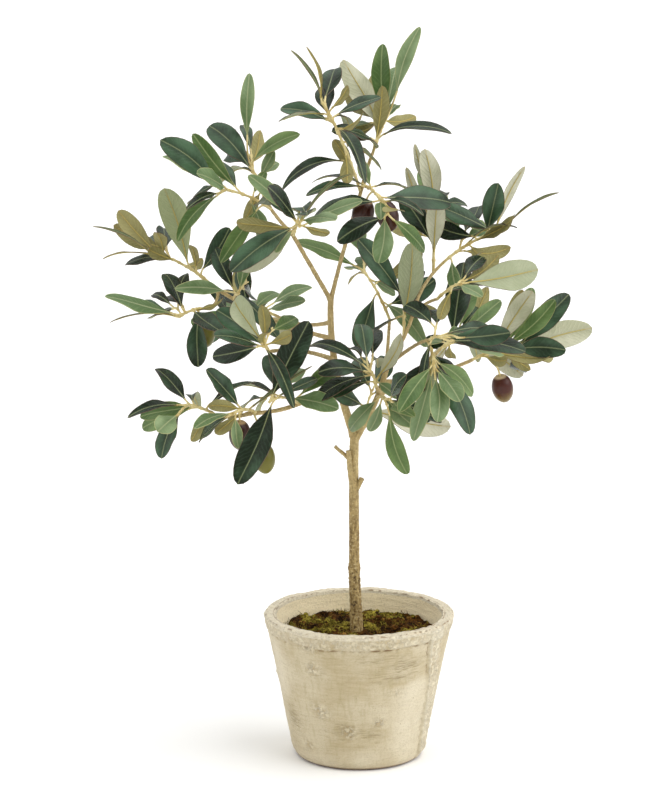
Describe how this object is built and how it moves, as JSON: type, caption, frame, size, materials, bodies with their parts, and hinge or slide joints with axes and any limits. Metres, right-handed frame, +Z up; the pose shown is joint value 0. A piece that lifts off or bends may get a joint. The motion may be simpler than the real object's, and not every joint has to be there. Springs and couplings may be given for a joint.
{
  "type": "artificial potted olive tree",
  "caption": "Small artificial olive tree with a slender bare stem and a round open crown of oval leaves and olives, in a tapered clay pot.",
  "frame": {"origin": "centre of the pot's flat underside", "axes": "+Z up the stem, -Y towards the front that the picture shows, +X to the right of it"},
  "size_m": [0.4239, 0.2956, 0.6177],
  "materials": {
    "pot": "limewashed, brushed, matt",
    "filling": "matted artificial moss",
    "limb": "moulded bark, matt",
    "foliage": "printed cloth leaves, satin"
  },
  "bodies": {
    "root": {"bough_back_left": "limb", "bough_back_right": "limb", "bough_centre": "limb", "bough_crown": "limb", "bough_far_left": "limb", "bough_far_right": "limb", "bough_hanging": "limb", "bough_inner_back": "limb", "bough_left_centre": "limb", "bough_left_high": "limb", "bough_low_left": "limb", "bough_low_left_tip": "limb", "bough_right_front": "limb", "bough_right_high": "limb", "bough_right_mid": "limb", "bough_right_top": "limb", "filling": "filling", "foliage_back_left": "foliage", "foliage_back_right": "foliage", "foliage_centre_left": "foliage", "foliage_crown_front": "foliage", "foliage_crown_tip": "foliage", "foliage_crown_top": "foliage", "foliage_far_left": "foliage", "foliage_far_right": "foliage", "foliage_fork": "foliage", "foliage_hanging": "foliage", "foliage_inner_back": "foliage", "foliage_inner_right": "foliage", "foliage_left_bough": "foliage", "foliage_left_centre": "foliage", "foliage_left_crest": "foliage", "foliage_left_high": "foliage", "foliage_left_knot": "foliage", "foliage_low_front": "foliage", "foliage_low_left": "foliage", "foliage_low_left_inner": "foliage", "foliage_low_left_tip": "foliage", "foliage_low_right": "foliage", "foliage_right_crest": "foliage", "foliage_right_front": "foliage", "foliage_right_mid": "foliage", "foliage_right_tip": "foliage", "leader": "limb", "leader_left": "limb", "leader_right": "limb", "pot": "pot", "right_stem": "limb", "trunk": "limb"}
  },
  "joints": []
}
